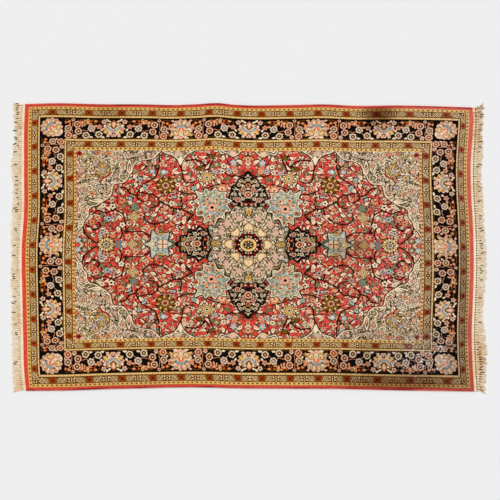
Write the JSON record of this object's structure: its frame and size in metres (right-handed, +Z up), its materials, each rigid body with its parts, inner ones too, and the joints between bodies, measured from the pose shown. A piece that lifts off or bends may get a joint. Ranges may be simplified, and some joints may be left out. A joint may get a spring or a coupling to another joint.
{
  "type": "kashmir rug",
  "caption": "Hand-knotted rectangular floor rug with a floral medallion field, a dark flowered border, overcast long edges and knotted cotton fringes at both ends.",
  "frame": {"origin": "on the floor, under the middle of the whole rug with its fringes", "axes": "+X along the rug from one fringed end to the other, +Y across it, +Z up out of the pile"},
  "size_m": [2.0276, 1.2314, 0.007],
  "materials": {
    "pile": "cut pile of fine wool and silk, knotted on cotton warps",
    "overcasting": "wool yarn wound closely over the edge warps",
    "warp_cotton": "undyed twisted cotton, matt"
  },
  "bodies": {
    "root": {"pile_body": "pile", "selvedge_north": "overcasting", "selvedge_south": "overcasting", "fringe_west": "warp_cotton", "fringe_east": "warp_cotton"}
  },
  "joints": []
}
